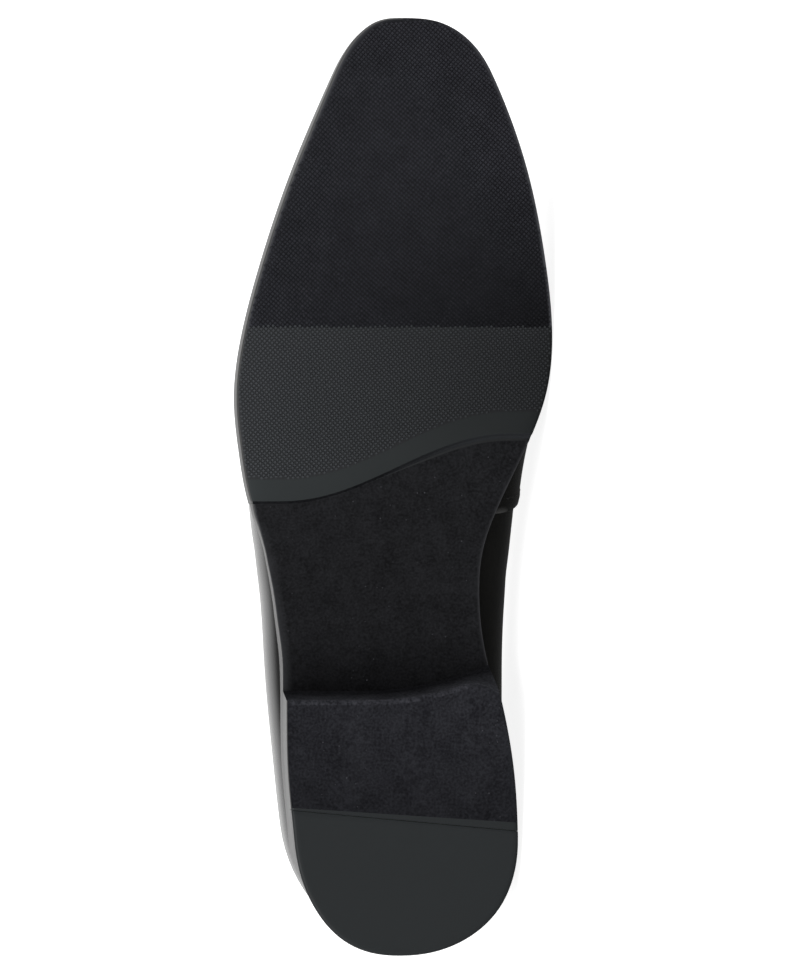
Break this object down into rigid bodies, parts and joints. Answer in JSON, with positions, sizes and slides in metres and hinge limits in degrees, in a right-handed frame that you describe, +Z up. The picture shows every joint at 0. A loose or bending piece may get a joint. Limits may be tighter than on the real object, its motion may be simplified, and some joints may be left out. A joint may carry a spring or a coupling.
{
  "type": "patent leather loafer",
  "caption": "Right slip-on dress shoe in black patent leather with a plain saddle strap, lying on its inner side; flocked rubber sole with S-shaped step, low heel and rubber tip.",
  "frame": {"origin": "on the floor, under the middle of the box round the lying shoe", "axes": "+X from heel to toe, +Y from sole to collar, +Z up from the floor through the outer side of the foot"},
  "size_m": [0.2996, 0.0958, 0.1004],
  "materials": {
    "patent": "black patent, mirror gloss coat",
    "sock": "plain charcoal leather sock, a guess",
    "rubber": "matte dark grey rubber, fine cross tread, short flock on toe and waist",
    "flock": "matte dark rubber with short flock",
    "tip_rubber": "smooth satin rubber"
  },
  "bodies": {
    "root": {"upper": "patent", "strap": "patent", "insole": "sock", "outsole": "rubber", "heel": "flock", "heel_tip": "tip_rubber"}
  },
  "joints": []
}
